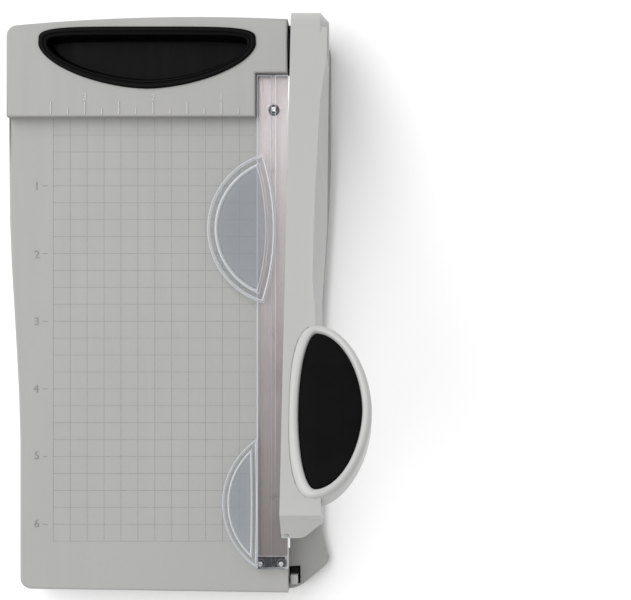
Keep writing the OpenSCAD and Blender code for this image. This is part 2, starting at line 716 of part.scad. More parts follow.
module arm_undercover() color([0.7, 0.7, 0.69]) on_arm() difference() {
    translate([x_arm + cavity_x0 - cover_lap, -cavity_to - cover_lap, -arm_under])
        cube([cavity_w + 2 * cover_lap, cavity_to - cavity_from + 2 * cover_lap, cover_t]);
    for (d = post_at) translate([grip_screw_x, -d, -arm_under]) csk_hole(cover_t + cut, 1, 2);
}

module arm_screws() color("silver") on_arm()
    for (d = post_at) translate([grip_screw_x, -d, -arm_under]) csk_screw(6, 1, 2);

module moving_blade() color([0.8, 0.8, 0.82]) on_arm() difference() {
    translate([0, -blade_from, 0]) rotate([90, 0, 0]) linear_extrude(blade_to - blade_from)
        polygon([[x_blade, -blade_under], [x_blade + 0.2, -blade_under],
            [x_blade + blade_t, blade_bevel - blade_under], [x_blade + blade_t, blade_up], [x_blade, blade_up]]);
    for (d = blade_screw_at) translate([x_blade, -d, blade_screw_h]) rotate([0, 90, 0]) blade_csk(3, cut);
}

// Flat-headed screw shape for the thin blade, with a head as deep as the blade
module blade_csk(length, extra) {
    translate([0, 0, -extra]) cylinder(h = extra, r = 2.2);
    cylinder(h = blade_t, r1 = 2.2, r2 = 1);
    cylinder(h = length, r = 1);
}

module blade_screws() color("silver") on_arm()
    for (d = blade_screw_at) translate([x_blade, -d, blade_screw_h]) rotate([0, 90, 0]) difference() {
        blade_csk(2.9, 0);
        for (a = [0, 90]) rotate(a) translate([-1.3, -0.25, -cut]) cube([2.6, 0.5, cut + 0.5]);
    }

module pivot_bush() color([0.72, 0.55, 0.3]) on_arm() difference() {
    xcyl(x_arm, x_seat, bolt_r + bush_wall);
    xcyl(x_arm - cut, x_seat + cut, bolt_r + run_fit);
}

module pivot_cap() color([0.74, 0.74, 0.73]) on_arm()
    xcyl(x_arm + arm_w - cap_t, x_arm + arm_w, nut_bore_r);

module grip_frame() color([0.8, 0.8, 0.78]) on_arm() difference() {
    translate([0, 0, grip_low]) linear_extrude(grip_high - grip_low) grip_shape(0);
    translate([0, 0, grip_pad_low]) linear_extrude(grip_high) grip_shape(grip_rim);
    for (d = grip_screw_at) translate([grip_screw_x, -d, grip_low - cut]) cylinder(h = cut + 3, r = 1.1);
}

module grip_pad() color([0.08, 0.08, 0.08]) on_arm()
    translate([0, 0, grip_pad_low]) linear_extrude(grip_pad_high - grip_pad_low) grip_shape(grip_rim);

module grip_screws() color("silver") on_arm() for (d = grip_screw_at)
    translate([grip_screw_x, -d, grip_floor - 1.5]) {
        cylinder(h = 1.5, r = grip_screw_head);
        cylinder(h = grip_low - grip_floor + 4.4, r = 1.1);
    }

placed() base_shell();
placed() bottom_plate();
placed() base_screws();
placed() rubber_feet();
placed() palm_tray();
placed() bed_plate();
placed() bed_screws();
placed() guard_block();
placed() hinge_bracket();
placed() bracket_screws();
placed() pivot_bolt();
placed() pivot_washer();
placed() spring_washer();
placed() pivot_nut();
placed() latch_bezel();
placed() arm_bumper();
placed() guard_springs();
placed() paper_guard();
placed() guard_pins();
placed() latch_tab();
placed() arm_shell();
placed() arm_undercover();
placed() arm_screws();
placed() moving_blade();
placed() blade_screws();
placed() pivot_bush();
placed() pivot_cap();
placed() grip_frame();
placed() grip_pad();
placed() grip_screws();
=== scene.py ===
# %% [markdown]
# # A small arm paper trimmer
#
# The trimmer is a low moulded base with a ruled deck, a raised head with a palm tray, a steel
# bed under a clear guard, and a blade arm with a D-shaped grip that stands half open.
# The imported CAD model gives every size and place. This lesson rounds its edges, shapes the
# parts that a hand touches, and gives each finish its grain, grind and wear.

# %% Load the frame
import json
import math

import bmesh
import bpy
from mathutils import Matrix, Vector


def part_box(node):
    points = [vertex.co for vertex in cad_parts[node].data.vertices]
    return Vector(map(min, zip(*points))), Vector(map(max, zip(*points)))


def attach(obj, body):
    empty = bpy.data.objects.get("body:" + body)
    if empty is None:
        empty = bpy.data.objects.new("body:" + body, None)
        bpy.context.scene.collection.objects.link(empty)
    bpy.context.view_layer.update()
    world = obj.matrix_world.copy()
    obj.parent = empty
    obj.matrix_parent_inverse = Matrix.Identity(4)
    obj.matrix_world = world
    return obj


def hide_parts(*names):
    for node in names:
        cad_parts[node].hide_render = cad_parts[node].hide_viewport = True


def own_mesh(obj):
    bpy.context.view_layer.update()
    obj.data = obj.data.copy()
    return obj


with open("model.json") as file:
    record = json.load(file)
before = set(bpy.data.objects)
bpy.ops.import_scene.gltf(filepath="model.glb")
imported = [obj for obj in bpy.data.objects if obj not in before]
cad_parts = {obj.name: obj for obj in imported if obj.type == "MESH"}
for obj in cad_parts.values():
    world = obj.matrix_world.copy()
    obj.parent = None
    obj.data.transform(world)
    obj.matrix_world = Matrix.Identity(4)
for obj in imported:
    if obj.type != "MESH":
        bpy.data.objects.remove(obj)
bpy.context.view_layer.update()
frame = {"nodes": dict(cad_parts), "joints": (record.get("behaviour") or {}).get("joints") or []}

MM = 0.001
INCH = 25.4 * MM

# %% [markdown]
# ## Camera
#
# The trimmer is seen from straight above with a long lens, so the deck looks like a plan
# and only the raised arm shows its sides. The optical axis stands a little to the right of the
# frame's middle. A small lens shift says that, and keeps vertical walls upright.

# %% Camera
AXIS_X = 63.7 * MM
AXIS_Y = 1.0 * MM
FRAME_X = 47.2 * MM
CAMERA_Z = 722 * MM
DECK_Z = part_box("bed_plate")[1].z
VIEW_W = 236.8 * MM
CLIP_NEAR = 0.01

camera = bpy.data.objects.new("camera", bpy.data.cameras.new("camera"))
bpy.context.scene.collection.objects.link(camera)
camera.location = (AXIS_X, AXIS_Y, CAMERA_Z)
camera.data.lens = camera.data.sensor_width * (CAMERA_Z - DECK_Z) / VIEW_W
camera.data.shift_x = (FRAME_X - AXIS_X) / VIEW_W
camera.data.clip_start = CLIP_NEAR
bpy.context.scene.camera = camera
print(f"lens {camera.data.lens:.1f} mm, shift {camera.data.shift_x:.3f}")

# %% [markdown]
# ## Light and floor
#
# A product table: a pale floor, an even sky and one very large soft lamp. The lamp stands up and
# to the left, so faces that look right fall into soft shade, and rounded edges on the left catch
# a thin highlight. It is so large that the raised arm throws almost no shadow. Colours are shown
# without a film curve, so a grey stays the grey it was given.

# %% Light and floor
SKY_STRENGTH = 0.62
FLOOR_R = 6.0

bpy.context.scene.view_settings.view_transform = "Standard"

world = bpy.data.worlds.new("soft_sky")
world.use_nodes = True
world.node_tree.nodes["Background"].inputs["Color"].default_value = (1, 1, 1, 1)
world.node_tree.nodes["Background"].inputs["Strength"].default_value = SKY_STRENGTH
bpy.context.scene.world = world


def soft_lamp(name, place, size, watts):
    """A square lamp that looks at the middle of the trimmer."""
    lamp = bpy.data.lights.new(name, "AREA")
    lamp.size = size
    lamp.energy = watts
    obj = bpy.data.objects.new(name, lamp)
    obj.location = place
    obj.rotation_euler = (-Vector(place)).to_track_quat("-Z", "Y").to_euler()
    bpy.context.scene.collection.objects.link(obj)


soft_lamp("key_lamp", place=(-1.1, 0.6, 1.9), size=2.6, watts=54)

bm = bmesh.new()
bmesh.ops.create_circle(bm, cap_ends=True, segments=96, radius=FLOOR_R)
floor_mesh = bpy.data.meshes.new("floor")
bm.to_mesh(floor_mesh)
bm.free()
floor = bpy.data.objects.new("floor", floor_mesh)
bpy.context.scene.collection.objects.link(floor)
print("sky, a lamp and a floor")

# %% [markdown]
# ## Tools for finishes
#
# Every finish is a Principled shader with a little pattern in its colour, its roughness and its
# height. The patterns are noise on Object coordinates, which are metres here, so a scale of
# 4000 means grains a quarter of a millimetre across. Stretching the noise along one
# axis turns it into grinding lines.

# %% Tools for finishes


def new_finish(name, colour, roughness, metallic=0.0, ior=1.5, shine=0.5):
    """A material with these plain values on its Principled shader."""
    material = bpy.data.materials.new(name)
    material.use_nodes = True
    shader = material.node_tree.nodes["Principled BSDF"]
    shader.inputs["Base Color"].default_value = (*colour, 1)
    shader.inputs["Roughness"].default_value = roughness
    shader.inputs["Metallic"].default_value = metallic
    shader.inputs["IOR"].default_value = ior
    shader.inputs["Specular IOR Level"].default_value = shine
    return material, material.node_tree, shader


def grain(tree, scale, stretch=(1, 1, 1), turn=(0, 0, 0), detail=3):
    """Noise from 0 to 1 at this many grains per metre, stretched along the axes."""
    coords = tree.nodes.new("ShaderNodeTexCoord")
    mapping = tree.nodes.new("ShaderNodeMapping")
    mapping.inputs["Scale"].default_value = stretch
    mapping.inputs["Rotation"].default_value = turn
    texture = tree.nodes.new("ShaderNodeTexNoise")
    texture.inputs["Scale"].default_value = scale
    texture.inputs["Detail"].default_value = detail
    tree.links.new(coords.outputs["Object"], mapping.inputs["Vector"])
    tree.links.new(mapping.outputs["Vector"], texture.inputs["Vector"])
    return texture.outputs["Fac"]


def spread(tree, value, low, high, start=0.3, end=0.7):
    """The value between start and end, mapped to low to high."""
    node = tree.nodes.new("ShaderNodeMapRange")
    numbers = {"From Min": start, "From Max": end, "To Min": low, "To Max": high}
    for socket, number in numbers.items():
        node.inputs[socket].default_value = number
    tree.links.new(value, node.inputs["Value"])
    return node.outputs["Result"]


def between(tree, factor, first, second):
    """A colour from first to second as factor goes from 0 to 1. Either may be a socket."""
    node = tree.nodes.new("ShaderNodeMix")
    node.data_type = "RGBA"
    tree.links.new(factor, node.inputs["Factor"])
    for socket, colour in ((node.inputs[6], first), (node.inputs[7], second)):
        if isinstance(colour, bpy.types.NodeSocket):
            tree.links.new(colour, socket)
        else:
            socket.default_value = (*colour, 1)
    return node.outputs[2]


def shaded(colour, share):
    """The colour made darker or lighter by this share."""
    return tuple(channel * share for channel in colour)


def relief(tree, shader, layers):
    """Bumps for the shader from (height, depth in metres, strength), coarse ones first."""
    normal = None
    for height, depth, strength in layers:
        node = tree.nodes.new("ShaderNodeBump")
        node.inputs["Distance"].default_value = depth
        node.inputs["Strength"].default_value = strength
        tree.links.new(height, node.inputs["Height"])
        if normal is not None:
            tree.links.new(normal, node.inputs["Normal"])
        normal = node.outputs["Normal"]
    tree.links.new(normal, shader.inputs["Normal"])


# %% [markdown]
# ## Moulded plastics
#
# The light grey base has a fine spark-eroded texture: grains of about a third of a millimetre
# with a satin shine, a slow drift in tone where the melt flowed, and long faint rubs where
# paper and hands slide over it. The same recipe, with other colours and depths, gives the
# smoother arm, the grip and the black mouldings.

# %% Moulded plastics
PLASTIC_IOR = 1.49
RUB = 0.05


def moulded(name, colour, roughness, grain_size=0.3 * MM, depth=0.02 * MM, shine=0.5):
    """Textured injection moulding with tone drift, satin variation and faint rubs."""
    material, tree, shader = new_finish(name, colour, roughness, ior=PLASTIC_IOR, shine=shine)
    drift = grain(tree, 18, detail=4)
    fine = grain(tree, 1 / grain_size, detail=2)
    rubs = grain(tree, 260, stretch=(1, 0.08, 1), turn=(0, 0, 0.5), detail=4)
    speck = between(tree, spread(tree, fine, 0, 1), shaded(colour, 0.965), shaded(colour, 1.02))
    tone = between(tree, spread(tree, drift, 0, 0.6), speck, shaded(colour, 0.95))
    worn = between(tree, spread(tree, rubs, 0, RUB * 2, 0.55, 0.8), tone, shaded(colour, 1.12))
    tree.links.new(worn, shader.inputs["Base Color"])
    satin = spread(tree, rubs, roughness + RUB, roughness - RUB)
    tree.links.new(satin, shader.inputs["Roughness"])
    relief(tree, shader, [(rubs, depth * 0.5, 0.15), (fine, depth, 0.55)])
    return material


BASE_GREY = moulded("base_grey", (0.342, 0.340, 0.331), 0.55)
# A lighter grey for the head's ticks and numerals: a painted highlight on marks of the base's own
# plastic.
MARK_HIGHLIGHT = moulded("mark_highlight", (0.46, 0.46, 0.45), 0.40,
                     grain_size=0.2 * MM, depth=0.004 * MM)
ARM_GREY = moulded("arm_grey", (0.405, 0.407, 0.400), 0.38,
                   grain_size=0.2 * MM, depth=0.006 * MM)
GRIP_GREY = moulded("grip_grey", (0.45, 0.45, 0.445), 0.32,
                    grain_size=0.2 * MM, depth=0.004 * MM)
LATCH_LIGHT = moulded("latch_light", (0.46, 0.46, 0.44), 0.40,
                      grain_size=0.15 * MM, depth=0.006 * MM)
PLATE_DARK = moulded("plate_dark", (0.085, 0.085, 0.09), 0.62,
                     grain_size=0.5 * MM, depth=0.05 * MM)
TRAY_BLACK = moulded("tray_black", (0.0026, 0.0024, 0.0025), 0.34,
                     grain_size=0.25 * MM, depth=0.01 * MM, shine=0.05)
BLOCK_BLACK = moulded("block_black", (0.004, 0.004, 0.004), 0.45,
                      grain_size=0.2 * MM, depth=0.01 * MM, shine=0.06)
print("eight moulded plastics")

# %% [markdown]
# ## Rubber
#
# The grip's insert, the feet and the bumper are black rubber. It has almost no shine, a
# pebbled skin, and a grey bloom where it has been rubbed.

# %% Rubber


def rubber(name, colour, pebble=0.45 * MM, depth=0.05 * MM):
    """Matt pebbled rubber with a patchy bloom."""
    material, tree, shader = new_finish(name, colour, 0.8, ior=1.45, shine=0.06)
    pebbles = grain(tree, 1 / pebble, detail=1)
    bloom = grain(tree, 60, detail=5)
    pore = between(tree, spread(tree, pebbles, 0, 1), shaded(colour, 0.75), shaded(colour, 1.2))
    tree.links.new(between(tree, spread(tree, bloom, 0, 0.5), pore, shaded(colour, 1.6)),
                   shader.inputs["Base Color"])
    tree.links.new(spread(tree, bloom, 0.85, 0.68), shader.inputs["Roughness"])
    relief(tree, shader, [(pebbles, depth, 0.5)])
    return material


PAD_BLACK = rubber("pad_black", (0.0035, 0.0035, 0.0037))
RUBBER_BLACK = rubber("rubber_black", (0.02, 0.02, 0.02), pebble=0.6 * MM)
print("two rubbers")

# %% [markdown]
# ## Metals
#
# The bed and the blade are ground steel: the wheel leaves lines along the cut, which noise
# stretched thirty times gives. The bed's near end is painted darker: painted shade under the arm.
# Bolts and screws are plated, with short turning marks and small dull stains. The bush is
# sintered bronze, which is grainy and warm.

# %% Metals
ALONG_Y = (1, 0.03, 1)
# Where the bed's painted shade under the arm fades out, between these places along Y, in metres.
SHADE_FADE_FROM = -0.09
SHADE_FADE_TO = 0.08


def ground(name, colour, roughness, stretch, stain=(0.6, 0.6, 0.6), lines=2600, far=None):
    """Metal with grinding lines across the stretched axis, faint stains and maybe a far colour; the
    near end then keeps its darker colour as painted shade.
    """
    material, tree, shader = new_finish(name, colour, roughness, 1.0)
    cut = grain(tree, lines, stretch=stretch, detail=4)
    cloud = grain(tree, 45, detail=5)
    streak = between(tree, spread(tree, cut, 0, 1), shaded(colour, 0.86), shaded(colour, 1.06))
    # The far colour fades in along Y, so the darker near colour stays as painted shade.
    if far is not None:
        place = tree.nodes.new("ShaderNodeSeparateXYZ")
        coords = tree.nodes.new("ShaderNodeTexCoord")
        tree.links.new(coords.outputs["Object"], place.inputs["Vector"])
        unshaded_far = between(tree, spread(tree, cut, 0, 1), shaded(far, 0.9), shaded(far, 1.04))
        shade_fade = spread(tree, place.outputs["Y"], 0, 1, SHADE_FADE_FROM, SHADE_FADE_TO)
        streak = between(tree, shade_fade, streak, unshaded_far)
    dull = tuple(a * b for a, b in zip(colour, stain))
    tree.links.new(between(tree, spread(tree, cloud, 0, 0.35, 0.5, 0.75), streak, dull),
                   shader.inputs["Base Color"])
    tree.links.new(spread(tree, cut, roughness - 0.07, roughness + 0.1), shader.inputs["Roughness"])
    relief(tree, shader, [(cut, 0.008 * MM, 0.35)])
    return material


# The bed's darker near colour is painted shade under the raised arm.
BED_STEEL = ground("bed_steel", (0.19, 0.160, 0.158), 0.36, ALONG_Y,
                   stain=(0.8, 0.72, 0.7), far=(0.44, 0.40, 0.405))
# A near-white steel, the painted highlight of the bed's ground edge.
EDGE_GLINT_STEEL = ground("edge_glint_steel", (0.93, 0.93, 0.93), 0.30, ALONG_Y, stain=(0.9, 0.9, 0.9))
BLADE_STEEL = ground("blade_steel", (0.66, 0.67, 0.68), 0.24, ALONG_Y, lines=3400)
BRACKET_STEEL = ground("bracket_steel", (0.50, 0.51, 0.53), 0.42, (0.2, 1, 0.2), lines=900)
SCREW_STEEL = ground("screw_steel", (0.60, 0.60, 0.61), 0.30, (1, 1, 0.2), lines=3000)
SPRING_STEEL = ground("spring_steel", (0.14, 0.14, 0.15), 0.33, (1, 1, 0.3), lines=4000)
BUSH_BRONZE = ground("bush_bronze", (0.52, 0.34, 0.16), 0.45, (1, 1, 1), stain=(0.5, 0.45, 0.4))
print("seven metals")

# %% [markdown]
# ## Clear guard
#
# The guard is clear acrylic, so the bed shows through it. Real refraction would throw noisy
# shade on the deck, so the sheet is drawn as a thin pane: its alpha is low where it is seen
# square on and rises at a low angle. Rounded edges and ribs, which pipe light in a real sheet, get
# a brighter colour, a painted highlight. The finger pads have an etched floor with more body, and
# fine scratches run across all of them.

# %% Clear guard


def clear(name, colour, roughness, body, edge, pits):
    """A see-through pane whose alpha goes from body, square on, to edge, at a low angle."""
    material, tree, shader = new_finish(name, colour, roughness, ior=PLASTIC_IOR)
    facing = tree.nodes.new("ShaderNodeLayerWeight")
    facing.inputs["Blend"].default_value = 0.35
    alpha = spread(tree, facing.outputs["Facing"], body, edge, 0.0, 0.8)
    tree.links.new(alpha, shader.inputs["Alpha"])
    scratch = grain(tree, 900, stretch=(1, 0.05, 1), turn=(0, 0, 0.9), detail=4)
    pit = grain(tree, pits, detail=2)
    scuffed = spread(tree, scratch, roughness, roughness + 0.12, 0.5, 0.8)
    tree.links.new(scuffed, shader.inputs["Roughness"])
    polished = roughness < 0.3
    relief(tree, shader, [(pit, 0.01 * MM, 0.2 if polished else 0.8)])
    return material


GUARD_CLEAR = clear("guard_clear", (0.55, 0.58, 0.62), 0.08, 0.04, 0.5, 300)
# The brighter edge colour is a painted highlight on rounded edges and ribs.
GUARD_EDGE_HIGHLIGHT = clear("guard_edge_highlight", (0.72, 0.76, 0.80), 0.15, 0.45, 0.85, 600)
GUARD_FROST = clear("guard_frost", (0.33, 0.365, 0.40), 0.45, 0.42, 0.75, 3500)
GUARD = [GUARD_CLEAR, GUARD_EDGE_HIGHLIGHT, GUARD_FROST]
print("clear, bright and etched acrylic")

# %% [markdown]
# ## Ink and floor paint
#
# The printed grid is a thin grey ink, broken a little where it has worn. The floor is matt
# white card, nearly without a pattern.

# %% Ink and floor
GRID_INK, ink_tree, ink_shader = new_finish("grid_ink", (0.22, 0.22, 0.21), 0.6)
ink_wear = grain(ink_tree, 700, detail=4)
ink_tone = between(ink_tree, spread(ink_tree, ink_wear, 0, 1), (0.19, 0.19, 0.19), (0.26, 0.26, 0.25))
ink_tree.links.new(ink_tone, ink_shader.inputs["Base Color"])
FLOOR_WHITE, floor_tree, floor_shader = new_finish("floor_white", (0.98, 0.98, 0.98), 0.9, shine=0.2)
relief(floor_tree, floor_shader, [(grain(floor_tree, 900), 0.01 * MM, 0.1)])
floor_mesh.materials.append(FLOOR_WHITE)
print("ink and floor")

# %% [markdown]
# ## Tools for pieces
#
# A piece often starts as a copy of its CAD node. The copy's loose triangles are merged, flat
# triangles are joined into whole faces, and the corners are rounded with the bevel operator,
# because a moulded or stamped edge is never knife sharp and its highlight is what makes
# a shape read. Each finished mesh rides on its CAD body, and most of them replace a node.

# %% Tools for pieces
SHARP_DEG = 32
SOFT_DEG = 50
FLAT_DEG = 0.4
WELD = 0.001 * MM
CUT_DIST = 0.0001 * MM


def node_bmesh(node):
    """The merged mesh of a CAD node, with flat areas joined into whole faces."""
    bm = bmesh.new()
    bm.from_mesh(frame["nodes"][node].data)
    bmesh.ops.remove_doubles(bm, verts=bm.verts, dist=WELD)
    bmesh.ops.dissolve_limit(bm, angle_limit=math.radians(FLAT_DEG), verts=bm.verts, edges=bm.edges)
    return bm


def corners(bm, test=lambda middle, edge: True, turn=SHARP_DEG):
    """Edges that turn outwards by more than this many degrees and pass the test."""
    found = []
    for edge in bm.edges:
        if len(edge.link_faces) != 2 or not edge.is_convex:
            continue
        middle = (edge.verts[0].co + edge.verts[1].co) / 2
        if edge.calc_face_angle(0) > math.radians(turn) and test(middle, edge):
            found.append(edge)
    return found


def soften(bm, edges, width, segments=3, clamp=True):
    """Rounds these edges by width."""
    bmesh.ops.bevel(bm, geom=edges, offset=width, segments=segments, profile=0.5, affect="EDGES",
                    clamp_overlap=clamp, material=-1)


def add_piece(name, bm, body, slot, finishes, stands_for=(), smooth=SHARP_DEG, weighted=True):
    """Makes the mesh an object that rides on a body and shows these finishes."""
    mesh = bpy.data.meshes.new(name)
    bm.to_mesh(mesh)
    bm.free()
    for finish in finishes:
        mesh.materials.append(finish)
    mesh.shade_smooth()
    mesh.set_sharp_from_angle(angle=math.radians(smooth))
    piece = bpy.data.objects.new(name, mesh)
    bpy.context.scene.collection.objects.link(piece)
    if weighted:
        piece.modifiers.new("even_shading", "WEIGHTED_NORMAL").keep_sharp = True
    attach(piece, body)
    if stands_for:
        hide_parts(*stands_for)
    print(f"{name}: {len(mesh.polygons)} faces")
    return piece


def ring(bm, points):
    """A closed loop of edges through these points."""
    verts = [bm.verts.new(point) for point in points]
    return [bm.edges.new(pair) for pair in zip(verts, verts[1:] + verts[:1])]


def skin(bm, rings):
    """Bridges each ring to the next, caps both ends and turns the faces outwards.

    Two rings at one height could be joined the wrong way round, so each ring has its own height.
    """
    for lower, upper in zip(rings, rings[1:]):
        bmesh.ops.bridge_loops(bm, edges=lower + upper)
    for end in (rings[0], rings[-1]):
        bmesh.ops.edgeloop_fill(bm, edges=end)
    bmesh.ops.recalc_face_normals(bm, faces=bm.faces)


def cut_off(bm, x, side):
    """Cuts away what lies past the plane at x on this side (1 or -1), and closes the cut."""
    everything = bm.verts[:] + bm.edges[:] + bm.faces[:]
    bmesh.ops.bisect_plane(bm, geom=everything, dist=CUT_DIST, plane_co=(x, 0, 0),
                           plane_no=(side, 0, 0), clear_outer=True)
    bmesh.ops.holes_fill(bm, edges=[e for e in bm.edges if e.is_boundary])


# %% [markdown]
# ## Base moulding
#
# The base is one grey shell: a ruled deck, a head that stands 6 mm above it as a fence for the
# paper, and a low skirt on the blade's side. Its CAD copy already has the right outline, so only
# its edges are worked. The outer rims get nearly a millimetre of radius, and the small edges
# beside the bed a quarter of one, because a big radius there would cut into the bed's seat.

# %% Base moulding
base_low, base_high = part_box("base_shell")
HEAD_Z = base_high.z
BED_LOW, BED_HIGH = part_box("bed_plate")
TRAY_LOW, TRAY_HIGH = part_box("palm_tray")
GUARD_LOW, GUARD_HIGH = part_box("paper_guard")
FLUSH = 0.05 * MM
base_points = [v.co for v in frame["nodes"]["base_shell"].data.vertices]
FENCE_Y = min(point.y for point in base_points if point.z > HEAD_Z - FLUSH)
WALL_X = BED_HIGH.x - 0.8 * MM
NOTCH_X = GUARD_HIGH.x - 12.2 * MM
LEFT_X = -40 * MM
NEAR_Y = base_low.y + 3 * MM
SKIRT_X = WALL_X + 8 * MM
SKIRT_LOW = 4 * MM
SKIRT_TOP = 10.2 * MM
SHORTEST = 0.2 * MM


def level(edge, z):
    """True for an edge that lies flat at this height."""
    return all(abs(v.co.z - z) < FLUSH for v in edge.verts)


def outer_rim(middle, edge):
    """The head's rims, the deck's left and near rims and the skirt's top, not the tray's opening."""
    in_tray = TRAY_LOW.x < middle.x < TRAY_HIGH.x and TRAY_LOW.y < middle.y < TRAY_HIGH.y
    if level(edge, HEAD_Z):
        return not in_tray
    if level(edge, DECK_Z):
        return middle.y < NEAR_Y or middle.x < LEFT_X
    skirt = middle.x > SKIRT_X and edge.calc_length() > SHORTEST
    return skirt and SKIRT_LOW < middle.z < SKIRT_TOP and middle.y < FENCE_Y


def small_rim(middle, edge):
    """The deck's edges beside the bed."""
    return level(edge, DECK_Z) and middle.x > WALL_X - FLUSH and middle.y < FENCE_Y


bm = node_bmesh("base_shell")
soften(bm, corners(bm, outer_rim), 0.9 * MM, 4, clamp=False)
soften(bm, corners(bm, small_rim), 0.25 * MM, 2, clamp=False)
add_piece("base_body", bm, "root", "base_grey", [BASE_GREY], ["base_shell"])
print(f"fence at {FENCE_Y / MM:.2f} mm, head at {HEAD_Z / MM:.1f} mm")

# %% [markdown]
# ## Ruler on the head
#
# Inches are measured from the cutting line, to the left along the fence. The real marks
# are moulded in the head's own plastic, so they show only by their highlights. Here they are low
# ribs in a lighter grey, a painted highlight: whole and half inches are long and quarter inches are
# short.

# %% Ruler on the head
CUT_X = BED_HIGH.x
RIB_W = 0.45 * MM
RIB_H = 0.3 * MM
RIB_Z = HEAD_Z - 0.02 * MM
RIB_EDGE = 0.05 * MM
LONG_RIB = 4.5 * MM
SHORT_RIB = 2.1 * MM


def bar(bm, x0, x1, y0, y1, z, height, edge=0.0):
    """A flat bar from corner to corner, standing on z, with its edges rounded."""
    middle = ((x0 + x1) / 2, (y0 + y1) / 2, z + height / 2)
    place = Matrix.LocRotScale(middle, None, (x1 - x0, y1 - y0, height))
    made = bmesh.ops.create_cube(bm, size=1, matrix=place)
    if edge:
        edges = list({e for v in made["verts"] for e in v.link_edges})
        soften(bm, edges, edge, 1)


bm = bmesh.new()
TICK_FROM = FENCE_Y + 1.0 * MM
for quarter in range(3, 15):
    tick_to = TICK_FROM + (LONG_RIB if quarter % 2 == 0 else SHORT_RIB)
    x = CUT_X - quarter * INCH / 4
    bar(bm, x - RIB_W / 2, x + RIB_W / 2, TICK_FROM, tick_to, RIB_Z, RIB_H, RIB_EDGE)
# The ticks' lighter grey is a painted highlight.
add_piece("head_ticks", bm, "root", "base_grey", [MARK_HIGHLIGHT])

# %% [markdown]
# ## Numerals
#
# A numeral is plain text made a mesh, a rib's height thick. Its middle lies on the surface or a
# hair above it, so about half of it shows. The head has 1 to 3, beyond the ticks.

# %% Numerals
DIGIT_H = 2.5 * MM
DIGIT_SIZE = 1.38


def numeral(digit, x, y, z, height):
    """A digit of this height as a thin mesh with its middle at x, y, z."""
    text = bpy.data.curves.new("digit", "FONT")
    text.body = str(digit)
    text.size = height * DIGIT_SIZE
    text.extrude = RIB_H / 2
    text.resolution_u = 4
    obj = bpy.data.objects.new("digit", text)
    bpy.context.scene.collection.objects.link(obj)
    bpy.context.view_layer.update()
    depsgraph = bpy.context.evaluated_depsgraph_get()
    mesh = bpy.data.meshes.new_from_object(obj.evaluated_get(depsgraph))
    bpy.data.objects.remove(obj)
    middle = sum((v.co for v in mesh.vertices), Vector()) / len(mesh.vertices)
    mesh.transform(Matrix.Translation((x, y, z)) @ Matrix.Translation(-middle))
    return mesh


def numerals(name, digits, finish):
    """Makes one piece of these digits."""
    bm = bmesh.new()
    for mesh in digits:
        bm.from_mesh(mesh)
        bpy.data.meshes.remove(mesh)
    bmesh.ops.remove_doubles(bm, verts=bm.verts, dist=WELD)
    add_piece(name, bm, "root", "base_grey", [finish], weighted=False)


DIGIT_Y = FENCE_Y + 7.4 * MM
DIGIT_Z = HEAD_Z + 0.05 * MM
head_digits = [numeral(n, CUT_X - n * INCH, DIGIT_Y, DIGIT_Z, DIGIT_H) for n in (1, 2, 3)]
# The head's numerals share the ticks' lighter grey, a painted highlight.
numerals("head_numerals", head_digits, MARK_HIGHLIGHT)

# %% [markdown]
# ## Grid on the deck
#
# A quarter-inch grid is printed on the deck from the fence to a quarter of an inch past the
# six-inch line, and numerals stand beside a short mark at each whole inch. The lines are thin
# flat bars, a hair above the deck, in a grey ink.

# %% Grid on the deck
LINE_W = 0.15 * MM
LINE_H = 0.05 * MM
UPRIGHT_Z = DECK_Z - 0.02 * MM
ACROSS_Z = DECK_Z - 0.021 * MM
GRID_LEFT = CUT_X - 3.5 * INCH
GRID_RIGHT = NOTCH_X - 0.6 * MM
GRID_NEAR = FENCE_Y - 6.25 * INCH
MARK_FROM = GRID_LEFT - 4.0 * MM
MARK_TO = GRID_LEFT - 2.1 * MM
DECK_DIGIT_X = GRID_LEFT - 6.2 * MM
DECK_DIGIT_H = 3.0 * MM

bm = bmesh.new()
for quarter in range(2, 15):
    x = CUT_X - quarter * INCH / 4
    if x < GRID_RIGHT:
        bar(bm, x - LINE_W / 2, x + LINE_W / 2, GRID_NEAR, FENCE_Y, UPRIGHT_Z, LINE_H)
for quarter in range(1, 26):
    y = FENCE_Y - quarter * INCH / 4
    bar(bm, GRID_LEFT, GRID_RIGHT, y - LINE_W / 2, y + LINE_W / 2, ACROSS_Z, LINE_H)
for inch in range(1, 7):
    y = FENCE_Y - inch * INCH
    bar(bm, MARK_FROM, MARK_TO, y - LINE_W, y + LINE_W, ACROSS_Z, LINE_H)
add_piece("deck_grid", bm, "root", "base_grey", [GRID_INK], weighted=False)

deck_digits = [numeral(n, DECK_DIGIT_X, FENCE_Y - n * INCH, DECK_Z, DECK_DIGIT_H) for n in range(1, 7)]
numerals("deck_numerals", deck_digits, GRID_INK)

# %% [markdown]
# ## Palm tray
#
# A deep black tray with a raised lip drops into the head, for a hand to hold the base
# down. Its outline is a D: flat towards the far edge and bulging towards the user. Both sides
# follow one formula, a superellipse, with its own power each. Rings of that outline, each a
# little further in and up or down, are bridged into a lip with a groove and a smooth bowl.

# %% Palm tray
TRAY_UP = 6.4 * MM
tray_half = (TRAY_HIGH.x - TRAY_LOW.x) / 2
tray_mid = Vector(((TRAY_HIGH.x + TRAY_LOW.x) / 2, TRAY_HIGH.y - TRAY_UP, 0))
tray_down = TRAY_HIGH.y - TRAY_LOW.y - TRAY_UP
RING_STEPS = 44
FAR_POWER = 4.7
NEAR_POWER = 1.7


def bulge(share, power):
    """How far a superellipse stands out, from 1 at its middle to 0 at its ends."""
    return max(0.0, 1 - abs(share) ** power) ** (1 / power)


